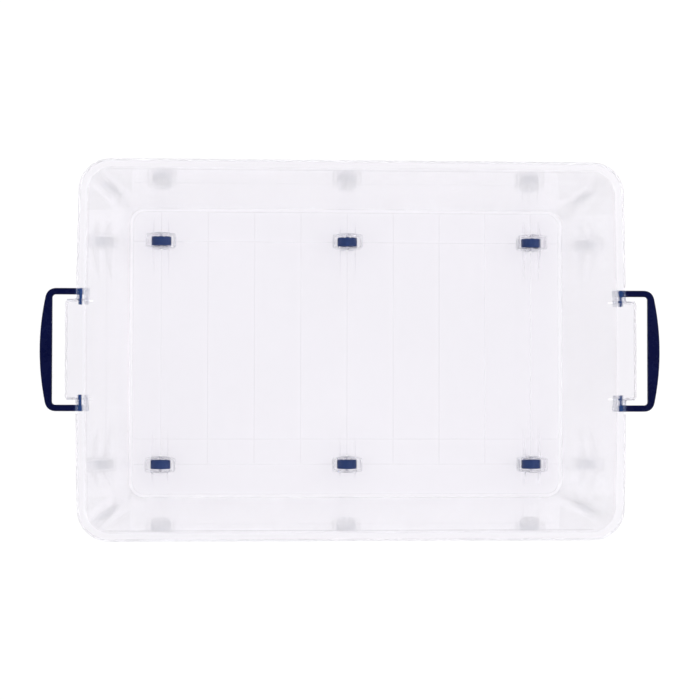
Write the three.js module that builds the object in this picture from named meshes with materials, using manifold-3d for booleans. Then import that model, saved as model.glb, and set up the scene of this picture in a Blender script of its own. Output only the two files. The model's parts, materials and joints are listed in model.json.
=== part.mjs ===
// Under bed box on six wheels: one clear moulded tub with a turned-down rim, six wheel arches in its
// floor, six wheels on snap-in axles, and a hinged carrying handle at each end.
// Millimetres, +Z up, +X along the box. The origin is on the ground under the middle of the box.
import * as THREE from "three";
import { mergeVertices } from "three/addons/utils/BufferGeometryUtils.js";
import Module from "manifold-3d";

const wasm = await Module();
wasm.setup();

// ---- Tub: rim, walls and floor ----
const HEIGHT = 180; // ground to rim
const RIM_HALF_X = 355;
const RIM_HALF_Y = 247;
const RIM_RADIUS = 42;
const END_BOW = 2.5; // the two end rims bulge outwards by this much in the middle
const FLANGE_WIDTH = 13.5;
const FLANGE_THICKNESS = 2.2;
const SKIRT_DEPTH = 9;
const SKIRT_THICKNESS = 2;
const EDGE_INSET = 3; // the rim's outer edge is rounded off over this width
const EDGE_DROP = 3.5;
const WALL = 2.4;
const FOOT_HALF_X = 300.6; // inside of the wall where it meets the floor
const FOOT_HALF_Y = 199.3;
const FOOT_RADIUS = 20;
const OUTER_FOOT_CHAMFER = 4;
const INNER_FOOT_CHAMFER = 2;
const UNDERSIDE = 8; // ground clearance under the floor
const FLOOR_TOP = UNDERSIDE + WALL;

// ---- Tub: the ledges that stand out between the arms of each handle ----
const LIP_HALF_WIDTH = 64.8;
const LIP_REACH = 371;
const LIP_RADIUS = 5.5;

// ---- Tub: ribs under the floor ----
const RIB_WIDTH = 1.4;
const RIB_DEPTH = 1.8;
const RIB_FOOT = UNDERSIDE - RIB_DEPTH;
const RIB_ROOT = 1.4; // how far a rib reaches up into the floor
const BEAD_INSET = 3; // from the foot of the wall to the bead that runs round under the floor
const BEAD_DEPTH = 1.5;
const LENGTHWISE_RIB_SHIFT = 35; // from the front wheel row to the single rib behind it

// ---- Wheels and axles ----
const WHEEL_X = 258.5;
const WHEEL_Y = 154.8;
const WHEEL_RADIUS = 13.7;
const WHEEL_WIDTH = 12.6;
const WHEEL_BAND = 3; // the dish on each side leaves this width under the tread
const WHEEL_HUB_RADIUS = 4.2;
const WHEEL_DISH = 2;
const WHEEL_CHAMFER = 1;
const WHEEL_NOTCHES = 10;
const NOTCH_SIZE = [2, 2.4, 5]; // along the tread, across it and inwards
const AXLE_RADIUS = 2;
const AXLE_HALF_LENGTH = 10.2;
const FIT_GAP = 0.3; // between a moving piece and what it turns in

// ---- Tub: the raised housing over each wheel and the webs that brace it ----
const ARCH_HALF_X = 20.5;
const ARCH_HALF_Y = 9.8;
const ARCH_BULGE = 1.6; // its long sides bulge over the axle's ends
const ARCH_RADIUS = 2.5;
const ARCH_TOP = 33.4;
const ARCH_WALL = 2;
const CROWN_DROP = 3;
const CROWN_INSET = 0.8;
const SEAT_GRIP = 0.3; // each side of a seat's mouth stands this much inside the axle's radius
const WEB_X = 10.5;
const WEB_THICKNESS = 1.6;
const WEB_TOP = ARCH_TOP - CROWN_DROP;
const WEB_INWARD = 42;
const WEB_OUTWARD = 21;
const WEB_TOE = 0.8; // a web is still this tall at its ends

// ---- Handles and their hinges ----
const PIVOT_X = 353.4;
const PIVOT_Z = 158;
const PIN_RADIUS = 2.8;
const PIN_TIP_Y = 58.3;
const ARM_INNER_Y = 71.4;
const ARM_OUTER_Y = 79.8;
const HANDLE_THICKNESS = 6;
const HANDLE_BEVEL = 1.2;
const HUB_RADIUS = 4.4;
const GRIP_INNER_X = 389.5;
const GRIP_OUTER_X = 405.5; // at the middle of the crowned grip
const GRIP_END_X = 399; // where the crown meets the outer corners
const GRIP_NOOK = 4; // reach of the inner corners' rounding
const GRIP_CORNER = 14; // reach of the outer corners' rounding
const GRIP_CORNER_LEAN = 2;
const LUG_RADIUS = 8;
const LUG_THICKNESS = 2.4;
const LUG_LENGTH = 24;
const RELIEF_MARGIN = 3; // free space round an arm where it passes under the rim
const RELIEF_SKIN = 0.6;
const RELIEF_DEPTH = 20;

// ---- Smoothness: straight steps per arc ----
const RIM_STEPS = 4;
const ARCH_STEPS = 2;
const HANDLE_STEPS = 6;
const WHEEL_STEPS = 20;
const PIN_STEPS = 12;
const OVERSHOOT = 1; // how far a cutting solid runs past the face it opens
const QUARTER = Math.PI / 2;

// ---- Materials ----
const material = (color, roughness, extra = {}) =>
  new THREE.MeshStandardMaterial({ color, roughness, metalness: 0, ...extra });

const clearPlastic = () => material(0xefecf3, 0.12, { transparent: true, opacity: 0.3 });
const navyHandle = () => material(0x050b38, 0.38);
const navyWheel = () => material(0x10224f, 0.45);
const naturalAxle = () => material(0xd9d9de, 0.4);

// ---- Solids ----
function solid(geometry) {
  geometry.deleteAttribute("normal");
  geometry.deleteAttribute("uv");
  const merged = mergeVertices(geometry, 1e-4);
  return new wasm.Manifold(
    new wasm.Mesh({
      numProp: 3,
      vertProperties: merged.attributes.position.array,
      triVerts: new Uint32Array(merged.index.array),
    }),
  );
}

function mesh(name, manifold, look) {
  const { vertProperties, triVerts } = manifold.getMesh();
  const geometry = new THREE.BufferGeometry();
  geometry.setAttribute("position", new THREE.BufferAttribute(vertProperties, 3));
  geometry.setIndex(new THREE.BufferAttribute(triVerts, 1));
  geometry.computeVertexNormals();
  const made = new THREE.Mesh(geometry, look);
  made.name = name;
  return made;
}

const union = (solids) => solids.reduce((all, next) => all.add(next));
const mirrored = (manifold, normal) => manifold.add(manifold.mirror(normal));
const fourCorners = (manifold) => mirrored(mirrored(manifold, [1, 0, 0]), [0, 1, 0]);

function box(x0, x1, y0, y1, z0, z1) {
  const geometry = new THREE.BoxGeometry(x1 - x0, y1 - y0, z1 - z0);
  geometry.translate((x0 + x1) / 2, (y0 + y1) / 2, (z0 + z1) / 2);
  return solid(geometry);
}

// An outline drawn in X and Z, as thick as y0 to y1.
function plate(shape, y0, y1) {
  const settings = { depth: y1 - y0, bevelEnabled: false, curveSegments: RIM_STEPS };
  const geometry = new THREE.ExtrudeGeometry(shape, settings);
  geometry.rotateX(QUARTER);
  geometry.translate(0, y1, 0);
  return solid(geometry);
}

// A round bar along Y.
function bar(radius, y0, y1, x = 0, z = 0) {
  const geometry = new THREE.CylinderGeometry(radius, radius, y1 - y0, PIN_STEPS);
  geometry.translate(x, (y0 + y1) / 2, z);
  return solid(geometry);
}

// Joins level rings of equal point counts, lowest first, into one closed solid.
function loft(rings) {
  const count = rings[0].points.length;
  const positions = [];
  const indices = [];
  rings.forEach(({ points, z }) => points.forEach((p) => positions.push(p.x, p.y, z)));
  for (let ring = 0; ring + 1 < rings.length; ring++) {
    for (let i = 0; i < count; i++) {
      const a = ring * count + i;
      const b = ring * count + ((i + 1) % count);
      indices.push(a, b, b + count, a, b + count, a + count);
    }
  }
  const top = (rings.length - 1) * count;
  THREE.ShapeUtils.triangulateShape(rings[0].points, []).forEach(([a, b, c]) => {
    indices.push(c, b, a, top + a, top + b, top + c);
  });
  const geometry = new THREE.BufferGeometry();
  geometry.setAttribute("position", new THREE.Float32BufferAttribute(positions, 3));
  geometry.setIndex(indices);
  return solid(geometry);
}

// A rounded rectangle whose ends bulge by bowX and whose long sides bulge by bowY.
function roundedOutline(halfX, halfY, radius, bowX = 0, bowY = 0) {
  const cx = halfX - radius;
  const cy = halfY - radius;
  const shape = new THREE.Shape();
  shape.absarc(cx, -cy, radius, -QUARTER, 0);
  shape.quadraticCurveTo(halfX + 2 * bowX, 0, halfX, cy);
  shape.absarc(cx, cy, radius, 0, QUARTER);
  shape.quadraticCurveTo(0, halfY + 2 * bowY, -cx, halfY);
  shape.absarc(-cx, cy, radius, QUARTER, 2 * QUARTER);
  shape.quadraticCurveTo(-halfX - 2 * bowX, 0, -halfX, -cy);
  shape.absarc(-cx, -cy, radius, 2 * QUARTER, 3 * QUARTER);
  shape.quadraticCurveTo(0, -halfY - 2 * bowY, cx, -halfY);
  return shape;
}

// The outline as a ring at height z: its points once each, without the closing one.
function ringAt(z, shape, steps) {
  const points = shape.getPoints(steps);
  return { points: points.filter((p, i) => p.distanceTo(points[(i + 1) % points.length]) > 1e-6), z };
}

// ---- Tub: rim and walls ----
// The wall's ring at height z, grown outwards by the wall where it is its outer face.
function wallRing(z, grow) {
  const share = (z - FLOOR_TOP) / (HEIGHT - FLOOR_TOP);
  const mix = (foot, top) => foot + (top - FLANGE_WIDTH - foot) * share + grow;
  const halfX = mix(FOOT_HALF_X, RIM_HALF_X);
  const halfY = mix(FOOT_HALF_Y, RIM_HALF_Y);
  const radius = mix(FOOT_RADIUS, RIM_RADIUS);
  return ringAt(z, roundedOutline(halfX, halfY, radius, END_BOW * Math.max(share, 0)), RIM_STEPS);
}

function wallLoft(grow, z0, z1, chamfer) {
  return loft([wallRing(z0, grow - chamfer), wallRing(z0 + chamfer, grow), wallRing(z1, grow)]);
}

const rimOutline = (inset) =>
  roundedOutline(RIM_HALF_X - inset, RIM_HALF_Y - inset, RIM_RADIUS - inset, END_BOW);

const lipOutline = (inset) =>
  roundedOutline(LIP_REACH - inset, LIP_HALF_WIDTH - inset, LIP_RADIUS - inset);

// Rim and lips as a full slab with its upper edge rounded off, or, with an inset, the hollow under them.
function rimSlab(inset, z0, z1) {
  const levels = [
    [z0, inset],
    [z1 - EDGE_DROP, inset],
    [z1, inset + EDGE_INSET],
  ];
  const slab = (outline) => loft(levels.map(([z, tuck]) => ringAt(z, outline(tuck), RIM_STEPS)));
  return slab(rimOutline).add(slab(lipOutline));
}

// Ears under each lip that hold the handle's pins, trimmed to end inside the skirt.
function pivotLugs() {
  const low = PIVOT_Z - LUG_RADIUS;
  const reach = LIP_REACH - SKIRT_THICKNESS;
  const shape = new THREE.Shape();
  shape.moveTo(PIVOT_X - LUG_LENGTH, HEIGHT);
  shape.lineTo(PIVOT_X - LUG_LENGTH, low);
  shape.lineTo(PIVOT_X, low);
  shape.absarc(PIVOT_X, PIVOT_Z, LUG_RADIUS, -QUARTER, 0);
  shape.lineTo(reach, HEIGHT - SKIRT_DEPTH);
  shape.lineTo(reach, HEIGHT);
  const lugs = fourCorners(plate(shape, LIP_HALF_WIDTH - LUG_THICKNESS, LIP_HALF_WIDTH));
  return lugs.intersect(rimSlab(SKIRT_THICKNESS / 2, low - OVERSHOOT, HEIGHT - FLANGE_THICKNESS / 2));
}

function pivotHoles() {
  const y0 = LIP_HALF_WIDTH - LUG_THICKNESS - OVERSHOOT;
  return fourCorners(bar(PIN_RADIUS + FIT_GAP, y0, LIP_HALF_WIDTH + OVERSHOOT, PIVOT_X, PIVOT_Z));
}

// Relief in the skirt above each handle arm, so that the handle can swing up.
function armReliefs() {
  const x0 = PIVOT_X - RELIEF_MARGIN;
  const x1 = RIM_HALF_X + 2 * RELIEF_MARGIN;
  const y0 = ARM_INNER_Y - RELIEF_MARGIN;
  const y1 = ARM_OUTER_Y + RELIEF_MARGIN;
  const z1 = HEIGHT - FLANGE_THICKNESS - RELIEF_SKIN;
  return fourCorners(box(x0, x1, y0, y1, z1 - RELIEF_DEPTH, z1));
}

// ---- Tub: floor ----
// Stiffening ribs under the floor, across the box and along both wheel rows, inside a bead all round.
function floorRibs() {
  const half = RIB_WIDTH / 2;
  const z1 = UNDERSIDE + RIB_ROOT;
  const endX = FOOT_HALF_X - BEAD_INSET;
  const endY = FOOT_HALF_Y - BEAD_INSET;
  const beadRing = (grow) => {
    const outline = roundedOutline(endX + grow, endY + grow, FOOT_RADIUS - BEAD_INSET + grow);
    const levels = [UNDERSIDE - BEAD_DEPTH, UNDERSIDE + RIB_ROOT / 2];
    return loft(levels.map((z) => ringAt(z, outline, RIM_STEPS)));
  };
  const ribs = [beadRing(half).subtract(beadRing(-half))];
  for (let k = -4; k <= 4; k++) {
    const x = (k * WHEEL_X) / 4;
    ribs.push(box(x - half, x + half, -WHEEL_Y, endY, RIB_FOOT, z1));
  }
  [-WHEEL_Y, -WHEEL_Y + LENGTHWISE_RIB_SHIFT, WHEEL_Y].forEach((y) => {
    ribs.push(box(-endX, endX, y - half, y + half, RIB_FOOT, z1));
  });
  return union(ribs);
}

// The places of the six wheels: a column's x, a row's y, and a name.
const wheelPlaces = ["left", "middle", "right"].flatMap((column, i) =>
  ["front", "rear"].map((row, j) => ({
    name: `${row}_${column}`,
    x: (i - 1) * WHEEL_X,
    y: (2 * j - 1) * WHEEL_Y,
  })),
);

// Copies of a piece drawn for the front row, whose inward side is +Y, at all six wheels.
function atEachWheel(frontPiece) {
  const copies = wheelPlaces.map(({ x, y }) => {
    const facing = y > 0 ? frontPiece.mirror([0, 1, 0]) : frontPiece;
    return facing.translate([x, y, 0]);
  });
  return union(copies);
}

// A housing over a wheel, or, with an inset, the hollow inside it.
function archHousing(inset) {
  const z0 = inset ? RIB_FOOT - OVERSHOOT : UNDERSIDE;
  const levels = [
    [z0, 0],
    [ARCH_TOP - inset - CROWN_DROP, 0],
    [ARCH_TOP - inset, CROWN_INSET],
  ];
  const rings = levels.map(([z, tuck]) => {
    const halfX = ARCH_HALF_X - inset - tuck;
    const halfY = ARCH_HALF_Y - inset - tuck / 2;
    return ringAt(z, roundedOutline(halfX, halfY, ARCH_RADIUS, 0, ARCH_BULGE), ARCH_STEPS);
  });
  return loft(rings);
}

// Two upright webs that brace a housing, tapering to the floor on both sides of it.
function archWebs() {
  const shape = new THREE.Shape();
  shape.moveTo(-ARCH_HALF_Y - WEB_OUTWARD, FLOOR_TOP - WEB_TOE);
  shape.lineTo(-ARCH_HALF_Y - WEB_OUTWARD, FLOOR_TOP + WEB_TOE);
  shape.lineTo(-ARCH_HALF_Y, WEB_TOP);
  shape.lineTo(ARCH_HALF_Y, WEB_TOP);
  shape.lineTo(ARCH_HALF_Y + WEB_INWARD, FLOOR_TOP + WEB_TOE);
  shape.lineTo(ARCH_HALF_Y + WEB_INWARD, FLOOR_TOP - WEB_TOE);
  const geometry = new THREE.ExtrudeGeometry(shape, { depth: WEB_THICKNESS, bevelEnabled: false });
  geometry.rotateX(QUARTER);
  geometry.rotateZ(QUARTER);
  geometry.translate(WEB_X - WEB_THICKNESS / 2, 0, 0);
  return mirrored(solid(geometry), [1, 0, 0]);
}

// Axle seats in the housing's long walls: a round hole with a narrower mouth that the axle snaps past.
function axleSeats() {
  const reach = ARCH_HALF_Y + ARCH_BULGE + OVERSHOOT;
  const seat = bar(AXLE_RADIUS + FIT_GAP, -reach, reach, 0, WHEEL_RADIUS);
  const mouth = AXLE_RADIUS - SEAT_GRIP;
  return seat.add(box(-mouth, mouth, -reach, reach, RIB_FOOT - OVERSHOOT, WHEEL_RADIUS));
}

function tub() {
  const outer = wallLoft(WALL, UNDERSIDE, HEIGHT, OUTER_FOOT_CHAMFER);
  const cavity = wallLoft(0, FLOOR_TOP, HEIGHT + OVERSHOOT, INNER_FOOT_CHAMFER);
  const rim = rimSlab(0, HEIGHT - SKIRT_DEPTH, HEIGHT);
  const underRim = rimSlab(SKIRT_THICKNESS, HEIGHT - SKIRT_DEPTH - OVERSHOOT, HEIGHT - FLANGE_THICKNESS);
  const shell = outer
    .add(rim.subtract(underRim))
    .subtract(armReliefs().subtract(outer))
    .add(pivotLugs())
    .subtract(pivotHoles())
    .subtract(cavity)
    .add(floorRibs());
  const raised = atEachWheel(archHousing(0).add(archWebs()));
  const hollows = atEachWheel(archHousing(ARCH_WALL).add(axleSeats()));
  return shell.add(raised).subtract(hollows);
}

// ---- Wheels and axles ----
// A wheel dished on both sides, with grip notches round its +Y edge. The middle of its bore is its origin.
function wheel() {
  const half = WHEEL_WIDTH / 2;
  const bore = AXLE_RADIUS + FIT_GAP;
  const band = WHEEL_RADIUS - WHEEL_BAND;
  const side = [
    [bore, half],
    [WHEEL_HUB_RADIUS, half],
    [WHEEL_HUB_RADIUS, half - WHEEL_DISH],
    [band, half - WHEEL_DISH],
    [band, half],
    [WHEEL_RADIUS - WHEEL_CHAMFER, half],
    [WHEEL_RADIUS, half - WHEEL_CHAMFER],
  ];
  const otherSide = side.map(([r, y]) => [r, -y]);
  const profile = [...otherSide, ...side.reverse(), otherSide[0]];
  const points = profile.map(([r, y]) => new THREE.Vector2(r, y));
  const disc = solid(new THREE.LatheGeometry(points, WHEEL_STEPS));
  const notches = [];
  for (let k = 0; k < WHEEL_NOTCHES; k++) {
    const geometry = new THREE.BoxGeometry(...NOTCH_SIZE);
    geometry.translate(0, half, WHEEL_RADIUS);
    geometry.rotateY(((k + 0.5) * 4 * QUARTER) / WHEEL_NOTCHES);
    notches.push(solid(geometry));
  }
  return disc.subtract(union(notches));
}

const axle = () => bar(AXLE_RADIUS, -AXLE_HALF_LENGTH, AXLE_HALF_LENGTH);

// ---- Handles ----
// The outline of the +X handle, lying level, drawn inside its bevel: one closed D with hubs on its ends.
function handleOutline() {
  const armMiddle = (ARM_INNER_Y + ARM_OUTER_Y) / 2;
  const hub = (ARM_OUTER_Y - ARM_INNER_Y) / 2 - HANDLE_BEVEL;
  const outer = ARM_OUTER_Y - HANDLE_BEVEL;
  const inner = ARM_INNER_Y + HANDLE_BEVEL;
  const gripX = GRIP_INNER_X + HANDLE_BEVEL;
  const nookX = gripX - GRIP_NOOK;
  const endX = GRIP_END_X - HANDLE_BEVEL;
  const cornerX = endX - GRIP_CORNER;
  const crownX = 2 * (GRIP_OUTER_X - HANDLE_BEVEL) - endX;
  const shape = new THREE.Shape();
  shape.absarc(PIVOT_X, armMiddle, hub, QUARTER, 3 * QUARTER);
  shape.lineTo(nookX, inner);
  shape.quadraticCurveTo(gripX, inner, gripX, inner - GRIP_NOOK);
  shape.lineTo(gripX, -inner + GRIP_NOOK);
  shape.quadraticCurveTo(gripX, -inner, nookX, -inner);
  shape.absarc(PIVOT_X, -armMiddle, hub, QUARTER, 3 * QUARTER);
  shape.lineTo(cornerX, -outer);
  shape.quadraticCurveTo(endX - GRIP_CORNER_LEAN, -outer, endX, -outer + GRIP_CORNER);
  shape.quadraticCurveTo(crownX, 0, endX, outer - GRIP_CORNER);
  shape.quadraticCurveTo(endX - GRIP_CORNER_LEAN, outer, cornerX, outer);
  return shape;
}

function handle() {
  const geometry = new THREE.ExtrudeGeometry(handleOutline(), {
    depth: HANDLE_THICKNESS - 2 * HANDLE_BEVEL,
    bevelSize: HANDLE_BEVEL,
    bevelThickness: HANDLE_BEVEL,
    bevelSegments: 2,
    curveSegments: HANDLE_STEPS,
  });
  geometry.translate(0, 0, PIVOT_Z - HANDLE_THICKNESS / 2 + HANDLE_BEVEL);
  const hub = bar(HUB_RADIUS, ARM_INNER_Y, ARM_OUTER_Y, PIVOT_X, PIVOT_Z);
  const pin = bar(PIN_RADIUS, PIN_TIP_Y, ARM_INNER_Y + OVERSHOOT, PIVOT_X, PIVOT_Z);
  return solid(geometry).add(mirrored(hub.add(pin), [0, 1, 0]));
}

// ---- The box ----
const group = new THREE.Group();
group.name = "under_bed_box";
group.add(mesh("tub", tub(), clearPlastic()));

const wheelSolid = wheel();
const axleSolid = axle();
wheelPlaces.forEach(({ name, x, y }) => {
  const station = new THREE.Group();
  station.position.set(x, y, WHEEL_RADIUS);
  station.add(mesh(`wheel_${name}`, wheelSolid, navyWheel()));
  station.add(mesh(`axle_${name}`, axleSolid, naturalAxle()));
  group.add(station);
});

group.add(mesh("handle_right", handle(), navyHandle()));
const leftHandle = mesh("handle_left", handle(), navyHandle());
leftHandle.rotation.z = Math.PI;
group.add(leftHandle);

export default group;
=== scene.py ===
"""Under bed box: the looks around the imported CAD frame.

The clear tub, the wheels, their axles and the two handles are remade here as fine meshes in the places
that the frame gives, with procedural plastics, on a pale floor under soft studio light.
"""
import json
import math

import bmesh
import bpy
from mathutils import Matrix, Vector


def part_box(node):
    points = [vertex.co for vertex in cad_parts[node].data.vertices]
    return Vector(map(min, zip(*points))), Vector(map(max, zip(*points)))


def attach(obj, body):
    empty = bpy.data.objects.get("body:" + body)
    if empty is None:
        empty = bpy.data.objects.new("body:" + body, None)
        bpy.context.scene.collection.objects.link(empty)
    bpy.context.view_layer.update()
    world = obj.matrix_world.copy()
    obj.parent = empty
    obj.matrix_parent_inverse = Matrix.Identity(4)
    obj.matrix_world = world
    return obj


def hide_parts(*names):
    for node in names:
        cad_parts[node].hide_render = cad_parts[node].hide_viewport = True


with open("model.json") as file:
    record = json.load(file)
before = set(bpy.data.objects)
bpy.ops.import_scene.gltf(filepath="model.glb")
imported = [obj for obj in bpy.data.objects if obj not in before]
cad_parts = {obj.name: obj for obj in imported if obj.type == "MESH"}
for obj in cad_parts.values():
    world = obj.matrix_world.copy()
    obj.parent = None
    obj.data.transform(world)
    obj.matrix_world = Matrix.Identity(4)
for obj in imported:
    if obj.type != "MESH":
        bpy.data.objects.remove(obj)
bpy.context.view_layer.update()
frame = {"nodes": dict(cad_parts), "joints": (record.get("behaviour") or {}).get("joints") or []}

mm = 0.001
QUARTER = math.pi / 2

# ---- Places taken from the frame ----
TUB_LOW, TUB_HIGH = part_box("tub")
RIM_TOP = TUB_HIGH.z
LIP_REACH = TUB_HIGH.x
RIM_HALF_Y = TUB_HIGH.y
RIB_DEPTH = 1.8 * mm
UNDERSIDE = TUB_LOW.z + RIB_DEPTH
WHEELS = sorted(name for name in frame["nodes"] if name.startswith("wheel_"))
HANDLES = sorted(name for name in frame["nodes"] if name.startswith("handle_"))
JOINT_OF = {joint["child"]: joint for joint in frame["joints"]}
PIVOT = Vector(JOINT_OF["handle_right"]["pos_m"])
HANDLE_LOW, HANDLE_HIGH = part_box("handle_right")


def node_centre(node):
    low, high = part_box(node)
    return (low + high) / 2


# ---- Sizes of the tub ----
RIM_HALF_X = 355 * mm
RIM_RADIUS = 42 * mm
END_BOW = 2.5 * mm
FLANGE_WIDTH = 13.5 * mm
FLANGE_THICKNESS = 2.2 * mm
EDGE_RADIUS = 4.5 * mm  # of the rim's rounded edges, inside and outside
HOLLOW_RADIUS = 2.5 * mm  # of the corner between the rim and its skirt, underneath
SKIRT_DEPTH = 9 * mm
SKIRT_THICKNESS = 2 * mm
WALL = 2.4 * mm
FLOOR_TOP = UNDERSIDE + WALL
FOOT_HALF = (300.6 * mm, 199.3 * mm)
FOOT_RADIUS = 20 * mm
FOOT_FILLET = 2 * mm
LIP_HALF_WIDTH = 64.8 * mm
LIP_RADIUS = 5.5 * mm
LIP_NOOK = 1.5 * mm  # radius of the inner corner where a lip leaves the rim

ARCH_HALF = (20.5 * mm, 9.8 * mm)
ARCH_BULGE = 1.6 * mm
ARCH_TOP = 33.4 * mm
ARCH_WALL = 2 * mm
WEB_X = 10.5 * mm
WEB_THICKNESS = 1.6 * mm
WEB_INWARD = 42 * mm
WEB_OUTWARD = 21 * mm
WEB_TOE = 0.8 * mm
RIB_WIDTH = 1.4 * mm
RIB_FOOT_SHARE = 0.4  # of the rib's width that is left at its foot
RIB_ROOT = UNDERSIDE + 1.4 * mm
RIB_SHIFT = 35 * mm
BEAD_INSET = 3 * mm
BEAD_DEPTH = 1.5 * mm
BEAD_FOOT = 0.3 * mm
LUG_RADIUS = 8 * mm
LUG_THICKNESS = 2.4 * mm
RELIEF_MARGIN = 3 * mm
RELIEF_SKIN = 0.6 * mm
RELIEF_DEPTH = 20 * mm

# ---- Sizes of the wheels, the axles and the handles ----
FIT_GAP = 0.3 * mm  # between a moving piece and what it turns in
AXLE_RADIUS = 2 * mm
WHEEL_HUB_RADIUS = 4.4 * mm
WHEEL_DISH = 2.2 * mm
TREAD_DEPTH = 3 * mm
NOTCHES = 10
NOTCH_RADIUS = 2.1 * mm
ARM_INNER_Y = 71.4 * mm
GRIP_INNER_X = 389.5 * mm
GRIP_END_X = 399 * mm  # where the grip's crown meets the outer corners
GRIP_CORNER = 14 * mm
GRIP_LEAN = 2 * mm
GRIP_NOOK = 4.2 * mm
ARM_STEP = 7 * mm
HANDLE_THICKNESS = 6 * mm
HANDLE_EDGE = 1.4 * mm
PIN_RADIUS = 2.8 * mm
PIN_TIP_Y = 58.3 * mm
# Up to HUB_END_X from the middle, the handles carry painted light at their hubs, fading out over HUB_FADE.
HUB_END_X = 356 * mm
HUB_FADE = 5 * mm

# ---- Steps of round stretches ----
CORNER_STEPS = 16
FILLET_STEPS = 5
END_STEPS = 6
NOOK_STEPS = 4
TIP_STEPS = 6
LIP_STEPS = 8
SIDE_STEPS = 10
WALL_STEPS = 6
WHEEL_STEPS = 96
BEND_STEPS = 12
WELD_DISTANCE = 0.005 * mm
SHARP_DEGREES = 32


# ---- Mesh helpers ----
def new_object(name, bm):
    """A mesh object made from bm, whose faces are turned to point outwards."""
    bmesh.ops.recalc_face_normals(bm, faces=bm.faces)
    mesh = bpy.data.meshes.new(name)
    bm.to_mesh(mesh)
    bm.free()
    made = bpy.data.objects.new(name, mesh)
    bpy.context.scene.collection.objects.link(made)
    return made


def arc(centre, radius, start, end, steps):
    """Points of an arc with both its ends; angles are in quarter turns."""
    turns = [QUARTER * (start + (end - start) * i / steps) for i in range(steps + 1)]
    return [(centre[0] + radius * math.cos(t), centre[1] + radius * math.sin(t)) for t in turns]


def rounded(corners, steps=4):
    """A closed outline from (x, y, radius) corners, each rounded by its own radius."""
    points = []
    count = len(corners)
    for i, (x, y, radius) in enumerate(corners):
        here = Vector((x, y))
        if radius == 0:
            points.append((x, y))
            continue
        before = (Vector(corners[i - 1][:2]) - here).normalized()
        after = (Vector(corners[(i + 1) % count][:2]) - here).normalized()
        half = before.angle(after) / 2
        reach = radius / math.tan(half)
        centre = here + (before + after).normalized() * (radius / math.sin(half))
        first = here + before * reach - centre
        turn = first.angle_signed(here + after * reach - centre)
        for k in range(steps + 1):
            spoke = first.copy()
            spoke.rotate(Matrix.Rotation(-turn * k / steps, 2))
            points.append(tuple(centre + spoke))
    return points


def loft(rings, closed=False):
    """A bmesh through rings of equal point counts: capped at both ends, or closed on itself."""
    bm = bmesh.new()
    rows = [[bm.verts.new(point) for point in ring] for ring in rings]
    pairs = list(zip(rows, rows[1:] + rows[:1])) if closed else list(zip(rows, rows[1:]))
    count = len(rows[0])
    for low, high in pairs:
        for i in range(count):
            j = (i + 1) % count
            bm.faces.new((low[i], low[j], high[j], high[i]))
    if not closed:
        bm.faces.new(rows[0])
        bm.faces.new(rows[-1])
    return bm


def settle(obj):
    """Applies the object's modifiers to its mesh."""
    evaluated = obj.evaluated_get(bpy.context.evaluated_depsgraph_get())
    mesh = bpy.data.meshes.new_from_object(evaluated)
    obj.modifiers.clear()
    old = obj.data
    obj.data = mesh
    mesh.name = old.name
    bpy.data.meshes.remove(old)


def combine(base, tools, operation):
    """Joins the tools to base, or cuts them away, and removes them."""
    for tool in tools:
        modifier = base.modifiers.new(operation, "BOOLEAN")
        modifier.operation = operation
        modifier.solver = "MANIFOLD"
        modifier.object = tool
        settle(base)
        bpy.data.objects.remove(tool)


def weld(obj):
    """Merges the points that cuts leave almost on each other, and removes faces without area."""
    bm = bmesh.new()
    bm.from_mesh(obj.data)
    bmesh.ops.remove_doubles(bm, verts=bm.verts, dist=WELD_DISTANCE)
    bmesh.ops.dissolve_degenerate(bm, edges=bm.edges, dist=WELD_DISTANCE)
    bmesh.ops.triangulate(bm, faces=[face for face in bm.faces if len(face.verts) > 4])
    bmesh.ops.dissolve_degenerate(bm, edges=bm.edges, dist=WELD_DISTANCE)
    bm.to_mesh(obj.data)
    bm.free()


def smooth(obj):
    """Smooth shading that keeps hard edges hard and flat faces flat."""
    weld(obj)
    obj.data.shade_smooth()
    obj.data.set_sharp_from_angle(angle=math.radians(SHARP_DEGREES))
    weighted = obj.modifiers.new("flat_faces_stay_flat", "WEIGHTED_NORMAL")
    weighted.keep_sharp = True
    weighted.weight = 100


# ---- Tub ----
def mix(low, high, share):
    return low + (high - low) * share


def bowed_end(half_x, corner_y, bow, low_y, high_y, steps):
    """Points up a bowed end rim from low_y to high_y, without the first."""
    ys = [mix(low_y, high_y, i / steps) for i in range(1, steps + 1)]
    return [(half_x + bow * (1 - (y / corner_y) ** 2), y) for y in ys]


def right_end(half_x, corner_y, bow, lip_inset):
    """Points up the +X end between its corner arcs: with a lip if lip_inset is a number, else plain."""
    nook = LIP_NOOK + (lip_inset or 0)
    tip = LIP_RADIUS - (lip_inset or 0)
    side_y = LIP_HALF_WIDTH - (lip_inset or 0)
    reach = LIP_REACH - (lip_inset or 0)
    start = side_y + nook
    lower = bowed_end(half_x, corner_y, bow, -corner_y, -start, END_STEPS)
    if lip_inset is None:
        middle_steps = 2 * (NOOK_STEPS + 1 + TIP_STEPS) + LIP_STEPS
        middle = bowed_end(half_x, corner_y, bow, -start, start, middle_steps)
        return lower + middle + bowed_end(half_x, corner_y, bow, start, corner_y, END_STEPS)
    root_x = lower[-1][0]
    corner = arc((root_x + nook, -start), nook, 2, 1, NOOK_STEPS)[1:]
    corner += arc((reach - tip, -side_y + tip), tip, -1, 0, TIP_STEPS)
    edge = [(reach, mix(-side_y + tip, side_y - tip, i / LIP_STEPS)) for i in range(1, LIP_STEPS)]
    mirrored = [(x, -y) for x, y in reversed(corner)]
    upper = bowed_end(half_x, corner_y, bow, start, corner_y, END_STEPS + 1)
    return lower + corner + edge + mirrored + upper


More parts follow.
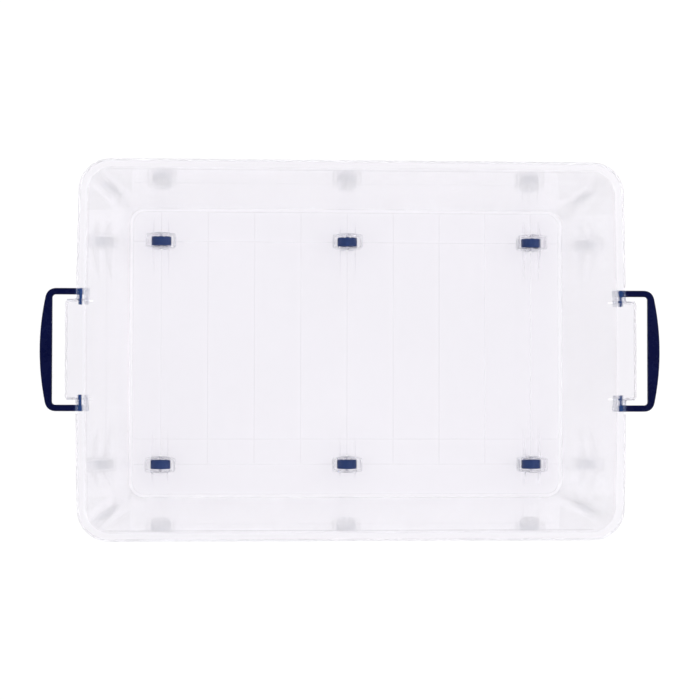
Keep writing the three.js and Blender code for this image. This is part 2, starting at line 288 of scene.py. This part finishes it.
def tub_ring(half_x, half_y, radius, bow, z, lip_inset=None):
    """One level ring of the tub, anticlockwise from the front right corner."""
    cx, cy = half_x - radius, half_y - radius
    quarter_arc = arc((cx, -cy), radius, -1, 0, CORNER_STEPS)
    end = right_end(half_x, cy, bow, lip_inset)
    upper = arc((cx, cy), radius, 0, 1, CORNER_STEPS)[1:]
    side = [(mix(cx, -cx, i / SIDE_STEPS), half_y) for i in range(1, SIDE_STEPS)]
    half = quarter_arc + end + upper + side
    return [Vector((x, y, z)) for x, y in half] + [Vector((-x, -y, z)) for x, y in half]


def wall_ring(z, grow):
    """The wall's ring at height z; grow moves it outwards from the wall's inner face."""
    share = (z - FLOOR_TOP) / (RIM_TOP - FLOOR_TOP)
    half_x = mix(FOOT_HALF[0], RIM_HALF_X - FLANGE_WIDTH, share) + grow
    half_y = mix(FOOT_HALF[1], RIM_HALF_Y - FLANGE_WIDTH, share) + grow
    radius = mix(FOOT_RADIUS, RIM_RADIUS - FLANGE_WIDTH, share) + grow
    return tub_ring(half_x, half_y, radius, END_BOW * max(share, 0), z)


def rim_ring(z, inset):
    """The rim's outline at height z, lips included, moved inwards by inset."""
    return tub_ring(RIM_HALF_X - inset, RIM_HALF_Y - inset, RIM_RADIUS - inset, END_BOW, z, inset)


def fillet_steps(radius):
    """(rise, run) pairs of a quarter circle, from level at its foot to upright at its top."""
    turns = [QUARTER * i / FILLET_STEPS for i in range(FILLET_STEPS + 1)]
    return [(radius * (1 - math.cos(t)), radius * (1 - math.sin(t))) for t in turns]


def tub_rings():
    """The tub's section as rings: up its inside, over the rim and its skirt, and down its outside."""
    edge = EDGE_RADIUS
    skirt_foot = RIM_TOP - SKIRT_DEPTH
    under = RIM_TOP - FLANGE_THICKNESS
    rings = [wall_ring(FLOOR_TOP + rise, -run) for rise, run in fillet_steps(FOOT_FILLET)]
    steps = [i / WALL_STEPS for i in range(1, WALL_STEPS)]
    rings += [wall_ring(mix(FLOOR_TOP + FOOT_FILLET, RIM_TOP - edge, step), 0) for step in steps]
    rings += [wall_ring(RIM_TOP - rise, run) for rise, run in reversed(fillet_steps(edge))]
    rings += [rim_ring(RIM_TOP - rise, run) for rise, run in fillet_steps(edge)]
    lip = SKIRT_THICKNESS / 2
    rings += [rim_ring(skirt_foot + rise, run) for rise, run in reversed(fillet_steps(lip))]
    rings += [rim_ring(skirt_foot + rise, SKIRT_THICKNESS - run) for rise, run in fillet_steps(lip)[1:]]
    hollow_edge = reversed(fillet_steps(HOLLOW_RADIUS))
    rings += [rim_ring(under - rise, SKIRT_THICKNESS + run) for rise, run in hollow_edge]
    rings += [wall_ring(under - rise, WALL + run) for rise, run in fillet_steps(edge)]
    foot = FOOT_FILLET + WALL
    rings += [wall_ring(mix(under - edge, UNDERSIDE + foot, step), WALL) for step in steps]
    rings += [wall_ring(UNDERSIDE + rise, WALL - run) for rise, run in reversed(fillet_steps(foot))]
    return rings


def plate(name, outline, y0, y1):
    """An outline drawn in X and Z, as thick as y0 to y1."""
    return new_object(name, loft([[Vector((x, y, z)) for x, z in outline] for y in (y0, y1)]))


def block(name, low, high):
    outline = [(low[0], low[2]), (high[0], low[2]), (high[0], high[2]), (low[0], high[2])]
    return plate(name, outline, low[1], high[1])


def rod(name, radius, y0, y1, x, z, steps=48, chamfer=0.0):
    """A round bar along Y with chamfered ends."""
    circle = [(math.cos(4 * QUARTER * i / steps), math.sin(4 * QUARTER * i / steps)) for i in range(steps)]
    ends = [(y0, radius - chamfer), (y0 + chamfer, radius), (y1 - chamfer, radius), (y1, radius - chamfer)]
    rings = ends if chamfer else [ends[0], ends[-1]]
    return new_object(name, loft([[Vector((x + r * c, y, z + r * s)) for c, s in circle] for y, r in rings]))


def pivot_lugs():
    """The ears under each lip that hold the handles' pins, and the holes through them."""
    low = PIVOT.z - LUG_RADIUS
    top = RIM_TOP - FLANGE_THICKNESS / 2
    skirt_top = RIM_TOP - EDGE_RADIUS - 0.1 * mm
    edge = LIP_REACH - SKIRT_THICKNESS
    roots = [(max(point.x for point in wall_ring(z, WALL / 2)), z) for z in (top, low)]
    outline = roots + arc((PIVOT.x, PIVOT.z), LUG_RADIUS, -1, 0, 10)
    outline += [(edge, RIM_TOP - SKIRT_DEPTH + mm), (edge, skirt_top)]
    outline += [(RIM_HALF_X - mm, skirt_top), (RIM_HALF_X - mm, top)]
    lugs, holes = [], []
    for sx in (-1, 1):
        for sy in (-1, 1):
            sides = sorted((sy * (LIP_HALF_WIDTH - LUG_THICKNESS), sy * (LIP_HALF_WIDTH - 0.02 * mm)))
            lugs.append(plate("lug", [(sx * x, z) for x, z in outline], *sides))
            hole_ends = (sides[0] - mm, sides[1] + mm)
            holes.append(rod("hole", PIN_RADIUS + FIT_GAP, *hole_ends, sx * PIVOT.x, PIVOT.z))
    return lugs, holes


def arm_reliefs():
    """Notches in the skirt above the handles' arms."""
    top = RIM_TOP - FLANGE_THICKNESS - RELIEF_SKIN
    foot = RIM_TOP - RELIEF_DEPTH
    cutters = []
    for sx in (-1, 1):
        for sy in (-1, 1):
            xs = sorted((sx * (PIVOT.x - RELIEF_MARGIN), sx * (RIM_HALF_X + 2 * RELIEF_MARGIN)))
            ys = sorted((sy * (ARM_INNER_Y - RELIEF_MARGIN), sy * (HANDLE_HIGH.y + RELIEF_MARGIN)))
            cutters.append(block("relief", (xs[0], ys[0], foot), (xs[1], ys[1], top)))
    return cutters


def arch_outline(inset):
    """Plan of a wheel arch: a rounded rectangle whose long sides bulge over the axle's ends."""
    half_x, half_y = ARCH_HALF[0] - inset, ARCH_HALF[1] - inset
    radius = 3 * mm - inset / 2
    cx, cy = half_x - radius, half_y - radius
    half = arc((cx, cy), radius, 0, 1, 6)
    xs = [mix(cx, -cx, i / 16) for i in range(1, 16)]
    half += [(x, half_y + ARCH_BULGE * (1 - (x / cx) ** 2) ** 2) for x in xs]
    half += arc((-cx, cy), radius, 1, 2, 6)
    return half + [(-x, -y) for x, y in half]


def arch_rings(centre, inset, levels):
    rings = []
    for z, tuck in levels:
        rings.append([Vector((centre.x + x, centre.y + y, z)) for x, y in arch_outline(inset + tuck)])
    return rings


def arch_body(centre):
    crown = 3 * mm
    levels = [(UNDERSIDE + 0.1 * mm, 0), (FLOOR_TOP - 0.1 * mm, -1.4 * mm)]
    levels += [(FLOOR_TOP + 0.1 * mm, -1.2 * mm), (FLOOR_TOP + 0.5 * mm, -0.5 * mm)]
    levels += [(FLOOR_TOP + 1.4 * mm, 0)]
    levels += [(ARCH_TOP - rise, run) for rise, run in reversed(fillet_steps(crown))]
    return new_object("arch", loft(arch_rings(centre, 0, levels)))


def arch_hollow(centre):
    crown = 1.5 * mm
    top = ARCH_TOP - ARCH_WALL
    levels = [(UNDERSIDE - 3 * mm, 0)] + [(top - rise, run) for rise, run in reversed(fillet_steps(crown))]
    return new_object("hollow", loft(arch_rings(centre, ARCH_WALL, levels)))


def arch_webs(centre):
    """Two upright webs that brace an arch and taper to the floor, long towards the middle of the box."""
    inward = -1 if centre.y > 0 else 1
    web_top = ARCH_TOP - 3 * mm
    side = [
        (-ARCH_HALF[1] - WEB_OUTWARD, FLOOR_TOP - WEB_TOE),
        (-ARCH_HALF[1] - WEB_OUTWARD, FLOOR_TOP + WEB_TOE),
        (-ARCH_HALF[1], web_top),
        (ARCH_HALF[1], web_top),
        (ARCH_HALF[1] + WEB_INWARD, FLOOR_TOP + WEB_TOE),
        (ARCH_HALF[1] + WEB_INWARD, FLOOR_TOP - WEB_TOE),
    ]
    webs = []
    for x in (-WEB_X, WEB_X):
        rings = []
        for edge in (-WEB_THICKNESS / 2, WEB_THICKNESS / 2):
            rings.append([Vector((centre.x + x + edge, centre.y + inward * y, z)) for y, z in side])
        webs.append(new_object("web", loft(rings)))
    return webs


def axle_seat(centre):
    """The hole that an axle lies in, and the narrower mouth below it that the axle snaps through."""
    reach = ARCH_HALF[1] + ARCH_BULGE + mm
    hole = rod("seat", AXLE_RADIUS + FIT_GAP, centre.y - reach, centre.y + reach, centre.x, centre.z, 24)
    half_mouth = AXLE_RADIUS - FIT_GAP
    low = (centre.x - half_mouth, centre.y - reach, UNDERSIDE - 3 * mm)
    high = (centre.x + half_mouth, centre.y + reach, centre.z)
    return [hole, block("mouth", low, high)]


def rib(start, end):
    """A shallow keel under the floor from one point to another, with a narrow foot."""
    along = (end - start).normalized()
    side = Vector((-along.y, along.x)) * RIB_WIDTH / 2
    foot = side * RIB_FOOT_SHARE
    section = [(side, RIB_ROOT), (-side, RIB_ROOT), (-foot, TUB_LOW.z), (foot, TUB_LOW.z)]
    rings = [[Vector((*(point + aside), z)) for aside, z in section] for point in (start, end)]
    return new_object("rib", loft(rings))


def bead():
    """The bead that runs round under the floor just inside the foot of the walls."""
    foot = UNDERSIDE - BEAD_DEPTH
    root = UNDERSIDE + 0.7 * mm
    section = [(RIB_WIDTH / 2, root), (-RIB_WIDTH / 2, root), (-BEAD_FOOT, foot), (BEAD_FOOT, foot)]
    rings = []
    for aside, z in section:
        half_x, half_y = (half - BEAD_INSET + aside for half in FOOT_HALF)
        rings.append(tub_ring(half_x, half_y, FOOT_RADIUS - BEAD_INSET + aside, 0, z))
    return new_object("bead", loft(rings, closed=True))


def floor_ribs(wheel_x, wheel_y):
    """Shallow ribs under the floor: across the box and along its wheel rows, inside a bead all round."""
    end_x, end_y = (half - BEAD_INSET for half in FOOT_HALF)
    ribs = [bead()]
    for k in range(-4, 5):
        x = k * wheel_x / 4
        ribs.append(rib(Vector((x, -wheel_y)), Vector((x, end_y))))
    for y in (-wheel_y, -wheel_y + RIB_SHIFT, wheel_y):
        ribs.append(rib(Vector((-end_x, y)), Vector((end_x, y))))
    return ribs


def make_tub():
    centres = [node_centre(name) for name in WHEELS]
    tub = new_object("tub_shell", loft(tub_rings()))
    combine(tub, arm_reliefs(), "DIFFERENCE")
    lugs, holes = pivot_lugs()
    combine(tub, lugs, "UNION")
    combine(tub, holes, "DIFFERENCE")
    combine(tub, floor_ribs(max(c.x for c in centres), max(c.y for c in centres)), "UNION")
    for centre in centres:
        combine(tub, [arch_body(centre)] + arch_webs(centre), "UNION")
        combine(tub, [arch_hollow(centre)] + axle_seat(centre), "DIFFERENCE")
    smooth(tub)
    return tub


# ---- Wheels and axles ----
def revolve(outline, centre, steps):
    """Turns a closed outline of (radius, y) about the Y line through centre."""
    rings = []
    for i in range(steps):
        c, s = math.cos(4 * QUARTER * i / steps), math.sin(4 * QUARTER * i / steps)
        rings.append([Vector((centre.x + r * c, centre.y + y, centre.z + r * s)) for r, y in outline])
    return loft(rings, closed=True)


def make_wheel(node):
    low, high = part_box(node)
    centre = node_centre(node)
    radius, half = (high.z - low.z) / 2, (high.y - low.y) / 2
    bore, hub, band = AXLE_RADIUS + FIT_GAP, WHEEL_HUB_RADIUS, radius - TREAD_DEPTH
    soft = 0.5 * mm
    profile = [(bore, -half, 0.3 * mm), (hub, -half, soft), (hub, -half + WHEEL_DISH, soft)]
    profile += [(band, -half + WHEEL_DISH, soft), (band, -half, soft), (radius, -half, 1.1 * mm)]
    profile += [(r, -y, blend) for r, y, blend in reversed(profile)]
    wheel = new_object(node + "_moulded", revolve(rounded(profile), centre, WHEEL_STEPS))
    cutters = []
    for k in range(NOTCHES):
        cutter = rod("notch", NOTCH_RADIUS, -4 * mm, 4 * mm, 0, 0, 20)
        turn = 4 * QUARTER * (k + 0.5) / NOTCHES
        on_tread = Matrix.Rotation(turn, 4, "Y") @ Matrix.Translation((0, half + 0.9 * mm, radius))
        cutter.data.transform(on_tread @ Matrix.Rotation(QUARTER, 4, "X"))
        cutter.data.transform(Matrix.Translation(centre))
        cutters.append(cutter)
    combine(wheel, cutters, "DIFFERENCE")
    smooth(wheel)
    return wheel


def make_axle(wheel_node):
    centre = node_centre(wheel_node)
    name = wheel_node.replace("wheel", "axle")
    low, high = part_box(name)
    axle = rod(name + "_moulded", AXLE_RADIUS, low.y, high.y, centre.x, centre.z, 40, 0.4 * mm)
    smooth(axle)
    return axle


# ---- Handles ----
def bend(start, control, end, share):
    """A point on the smooth bend from start to end that leans towards control."""
    return start * (1 - share) ** 2 + control * 2 * share * (1 - share) + end * share ** 2


def handle_spine():
    """Pairs of points down the handle, on its inner and its outer edge, from one hub to the other."""
    crown_x, outer_y = HANDLE_HIGH.x, HANDLE_HIGH.y
    arm_xs = [PIVOT.x + ARM_STEP * i for i in range(4)]
    pairs = [((x, ARM_INNER_Y), (x, outer_y)) for x in arm_xs]
    start = Vector((GRIP_END_X - GRIP_CORNER - mm, outer_y))
    control = Vector((GRIP_END_X - GRIP_LEAN, outer_y))
    end = Vector((GRIP_END_X, outer_y - GRIP_CORNER))
    nook_y = ARM_INNER_Y - GRIP_NOOK
    nook = arc((GRIP_INNER_X - GRIP_NOOK, nook_y), GRIP_NOOK, 1, 0, BEND_STEPS)
    for i, inner in enumerate(nook):
        pairs.append((inner, tuple(bend(start, control, end, i / BEND_STEPS))))
    for i in range(1, BEND_STEPS + 1):
        share = 1 - i / BEND_STEPS
        outer_x = crown_x - (crown_x - GRIP_END_X) * share ** 2
        pairs.append(((GRIP_INNER_X, nook_y * share), (outer_x, end.y * share)))
    mirrored = [((a[0], -a[1]), (b[0], -b[1])) for a, b in reversed(pairs[:-1])]
    return pairs + mirrored


def handle_section(inner, outer):
    """A box section with rounded corners from the inner edge to the outer edge."""
    a, b = Vector(inner), Vector(outer)
    middle, across = (a + b) / 2, (b - a).normalized()
    half, rise = (b - a).length / 2, HANDLE_THICKNESS / 2
    signs = [(1, -1), (1, 1), (-1, 1), (-1, -1)]
    corners = [(u * half, v * rise, HANDLE_EDGE) for u, v in signs]
    return [Vector((*(middle + across * u), PIVOT.z + v)) for u, v in rounded(corners, 6)]


def make_handle(node):
    """The right handle, turned half round for the left one."""
    handle = new_object(node + "_moulded", loft([handle_section(a, b) for a, b in handle_spine()]))
    parts = []
    for side in (-1, 1):
        hub = sorted((side * ARM_INNER_Y, side * HANDLE_HIGH.y))
        pin = sorted((side * PIN_TIP_Y, side * (ARM_INNER_Y + mm)))
        parts.append(rod("hub", PIVOT.x - HANDLE_LOW.x, *hub, PIVOT.x, PIVOT.z, 48, 0.8 * mm))
        parts.append(rod("pin", PIN_RADIUS, *pin, PIVOT.x, PIVOT.z, 40, 0.6 * mm))
    combine(handle, parts, "UNION")
    if node == "handle_left":
        handle.data.transform(Matrix.Rotation(2 * QUARTER, 4, "Z"))
    smooth(handle)
    return handle


# ---- Materials ----
STRAIGHT_SHARE = 0.5


def node_material(name):
    material = bpy.data.materials.new(name)
    material.use_nodes = True
    tree = material.node_tree
    return material, tree, tree.nodes["Principled BSDF"]


def add_node(tree, kind, inputs=None, **settings):
    node = tree.nodes.new(kind)
    for key, value in settings.items():
        setattr(node, key, value)
    for key, value in (inputs or {}).items():
        node.inputs[key].default_value = value
    return node


def object_noise(tree, scale, detail=3.0, roughness=0.5):
    coordinates = add_node(tree, "ShaderNodeTexCoord")
    noise = add_node(tree, "ShaderNodeTexNoise", {"Scale": scale, "Detail": detail, "Roughness": roughness})
    tree.links.new(coordinates.outputs["Object"], noise.inputs["Vector"])
    return noise


def ramp_between(tree, source, low, high, start=0.3, end=0.7):
    """A colour or grey that runs from low to high as the source runs from start to end."""
    ramp_node = add_node(tree, "ShaderNodeValToRGB")
    ramp_node.color_ramp.elements[0].position = start
    ramp_node.color_ramp.elements[1].position = end
    ramp_node.color_ramp.elements[0].color = low
    ramp_node.color_ramp.elements[1].color = high
    tree.links.new(source, ramp_node.inputs["Fac"])
    return ramp_node.outputs["Color"]


def grey(value):
    return (value, value, value, 1)


def clear_plastic():
    """Clear polypropylene: slightly rippled, faintly hazy, and open to lamp light.

    At least STRAIGHT_SHARE of the rays pass without bending, so that the rim doesn't trap them and go dark.
    """
    material, tree, shader = node_material("clear_plastic")
    shader.inputs["Base Color"].default_value = (0.925, 0.91, 0.945, 1)
    shader.inputs["IOR"].default_value = 1.49
    shader.inputs["Transmission Weight"].default_value = 1.0
    haze = object_noise(tree, 18, 4)
    frosting = ramp_between(tree, haze.outputs["Fac"], grey(0.012), grey(0.04))
    tree.links.new(frosting, shader.inputs["Roughness"])
    ripple = object_noise(tree, 9, 2)
    bump = add_node(tree, "ShaderNodeBump", {"Strength": 0.12, "Distance": 0.0003})
    tree.links.new(ripple.outputs["Fac"], bump.inputs["Height"])
    tree.links.new(bump.outputs["Normal"], shader.inputs["Normal"])
    through = add_node(tree, "ShaderNodeBsdfTransparent", {"Color": (0.96, 0.954, 0.969, 1)})
    path = add_node(tree, "ShaderNodeLightPath")
    either = add_node(tree, "ShaderNodeMath", operation="MAXIMUM")
    tree.links.new(path.outputs["Is Shadow Ray"], either.inputs[0])
    tree.links.new(path.outputs["Is Diffuse Ray"], either.inputs[1])
    least = add_node(tree, "ShaderNodeMath", {1: STRAIGHT_SHARE}, operation="MAXIMUM")
    tree.links.new(either.outputs["Value"], least.inputs[0])
    mixer = add_node(tree, "ShaderNodeMixShader")
    tree.links.new(least.outputs["Value"], mixer.inputs["Fac"])
    tree.links.new(shader.outputs["BSDF"], mixer.inputs[1])
    tree.links.new(through.outputs["BSDF"], mixer.inputs[2])
    tree.links.new(mixer.outputs["Shader"], tree.nodes["Material Output"].inputs["Surface"])
    return material


def moulded_plastic(name, dark, light, roughness, grain, specular=0.25):
    """Opaque moulded plastic: a little colour drift, uneven gloss and a fine spark-eroded grain."""
    material, tree, shader = node_material(name)
    drift = object_noise(tree, 35, 4)
    colour = ramp_between(tree, drift.outputs["Fac"], (*dark, 1), (*light, 1))
    tree.links.new(colour, shader.inputs["Base Color"])
    gloss = object_noise(tree, 90, 5, 0.6)
    rough = ramp_between(tree, gloss.outputs["Fac"], grey(roughness[0]), grey(roughness[1]))
    tree.links.new(rough, shader.inputs["Roughness"])
    fine = object_noise(tree, 2600, 2)
    bump = add_node(tree, "ShaderNodeBump", {"Strength": grain, "Distance": 0.00006})
    tree.links.new(fine.outputs["Fac"], bump.inputs["Height"])
    tree.links.new(bump.outputs["Normal"], shader.inputs["Normal"])
    shader.inputs["Specular IOR Level"].default_value = specular
    return material


def paint_light_on_hubs(material, blue):
    """Painted light: blends the handle plastic into a lighter blue at its hubs and pins, for the light that
    they catch under the clear lips.
    """
    tree = material.node_tree
    base = tree.nodes["Principled BSDF"].inputs["Base Color"]
    arm_colour = base.links[0].from_socket
    coordinates = add_node(tree, "ShaderNodeTexCoord")
    place_of = add_node(tree, "ShaderNodeSeparateXYZ")
    tree.links.new(coordinates.outputs["Object"], place_of.inputs["Vector"])
    outward = add_node(tree, "ShaderNodeMath", operation="ABSOLUTE")
    tree.links.new(place_of.outputs["X"], outward.inputs[0])
    share = add_node(tree, "ShaderNodeMapRange", {"From Min": HUB_END_X, "From Max": HUB_END_X + HUB_FADE})
    tree.links.new(outward.outputs["Value"], share.inputs["Value"])
    mixer = add_node(tree, "ShaderNodeMix", data_type="RGBA")
    # This node's sockets share their names between data types, so they are taken by number.
    factor, painted_hub_light, outer_colour = (mixer.inputs[i] for i in (0, 6, 7))
    painted_hub_light.default_value = (*blue, 1)
    tree.links.new(share.outputs["Result"], factor)
    tree.links.new(arm_colour, outer_colour)
    tree.links.new(mixer.outputs[2], base)


def pale_floor():
    material, tree, shader = node_material("pale_floor")
    shader.inputs["Roughness"].default_value = 0.9
    shader.inputs["Specular IOR Level"].default_value = 0.1
    drift = object_noise(tree, 3, 3)
    colour = ramp_between(tree, drift.outputs["Fac"], grey(0.49), grey(0.51))
    tree.links.new(colour, shader.inputs["Base Color"])
    shader.inputs["Emission Color"].default_value = (1, 1, 1, 1)
    shader.inputs["Emission Strength"].default_value = 0.49
    return material


# ---- Stage ----
def make_stage():
    bm = bmesh.new()
    bmesh.ops.create_grid(bm, x_segments=8, y_segments=8, size=30)
    floor = new_object("studio_floor", bm)
    if floor.data.polygons[0].normal.z < 0:
        floor.data.flip_normals()
    floor.data.materials.append(pale_floor())


def area_light(name, place, size, power):
    """A white rectangular light that faces the box's foot."""
    data = bpy.data.lights.new(name, "AREA")
    data.shape = "RECTANGLE"
    data.size, data.size_y = size
    data.energy = power
    light = bpy.data.objects.new(name, data)
    light.location = place
    towards_foot = Vector((0, 0, 0)) - Vector(place)
    light.rotation_euler = towards_foot.to_track_quat("-Z", "Y").to_euler()
    bpy.context.scene.collection.objects.link(light)
    return light


def make_lights():
    scene = bpy.context.scene
    scene.view_settings.view_transform = "Standard"
    scene.cycles.caustics_reflective = False
    scene.cycles.caustics_refractive = False
    scene.cycles.max_bounces = 24
    scene.cycles.transmission_bounces = 24
    scene.cycles.transparent_max_bounces = 32
    scene.world = bpy.data.worlds.new("studio")
    scene.world.use_nodes = True
    tree = scene.world.node_tree
    background = tree.nodes["Background"]
    coordinates = add_node(tree, "ShaderNodeTexCoord")
    height = add_node(tree, "ShaderNodeSeparateXYZ")
    tree.links.new(coordinates.outputs["Generated"], height.inputs["Vector"])
    tent = ramp_between(tree, height.outputs["Z"], (0.88, 0.88, 0.895, 1), (0.03, 0.03, 0.033, 1), 0.25, 0.8)
    tree.links.new(tent, background.inputs["Color"])
    background.inputs["Strength"].default_value = 1.1
    area_light("softbox_left", (-2.6, 0.2, 2.2), (2.4, 3.2), 14)
    area_light("softbox_right", (2.6, 0.2, 2.2), (2.4, 3.2), 28)
    overhead = area_light("overhead_silk", (0, 0, 3.4), (3.4, 3.0), 96)
    overhead.visible_glossy = False
    overhead.visible_transmission = False


def make_camera():
    """Looks down on the open box from almost straight above its middle."""
    place = Vector((-0.115, -0.056, 2.277))
    turns = [math.radians(angle) for angle in (1.527, -3.012, 0.17)]
    tilt_x, tilt_y, tilt_z = (Matrix.Rotation(turn, 4, axis) for turn, axis in zip(turns, "XYZ"))
    data = bpy.data.cameras.new("camera")
    data.sensor_width = 36
    data.lens = 83.52
    camera = bpy.data.objects.new("camera", data)
    camera.matrix_world = Matrix.Translation(place) @ tilt_x @ tilt_y @ tilt_z
    bpy.context.scene.collection.objects.link(camera)
    bpy.context.scene.camera = camera


# ---- The box ----
def dress(piece, material, body, node):
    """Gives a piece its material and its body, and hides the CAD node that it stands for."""
    piece.data.materials.clear()
    piece.data.materials.append(material)
    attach(piece, body)
    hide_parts(node)


make_camera()
make_lights()
make_stage()

HANDLE_NAVY = moulded_plastic(
    "handle_plastic",
    dark=(0.0005, 0.0018, 0.028),
    light=(0.001, 0.003, 0.036),
    roughness=(0.22, 0.32),
    grain=0.2,
    specular=0.14,
)
# Painted light: a lighter blue on the hubs and pins for the light they catch under the clear lips, not a
# colour of the plastic.
paint_light_on_hubs(HANDLE_NAVY, (0.014, 0.048, 0.165))
WHEEL_BLUE = moulded_plastic(
    "wheel_plastic",
    dark=(0.017, 0.04, 0.128),
    light=(0.025, 0.052, 0.158),
    roughness=(0.4, 0.55),
    grain=0.3,
)
AXLE_NATURAL = moulded_plastic(
    "axle_plastic",
    dark=(0.68, 0.68, 0.7),
    light=(0.76, 0.76, 0.78),
    roughness=(0.3, 0.45),
    grain=0.2,
)

dress(make_tub(), clear_plastic(), "box", "tub")
for wheel_node in WHEELS:
    axle_node = wheel_node.replace("wheel", "axle")
    dress(make_wheel(wheel_node), WHEEL_BLUE, wheel_node, wheel_node)
    dress(make_axle(wheel_node), AXLE_NATURAL, "box", axle_node)
for handle_node in HANDLES:
    dress(make_handle(handle_node), HANDLE_NAVY, handle_node, handle_node)
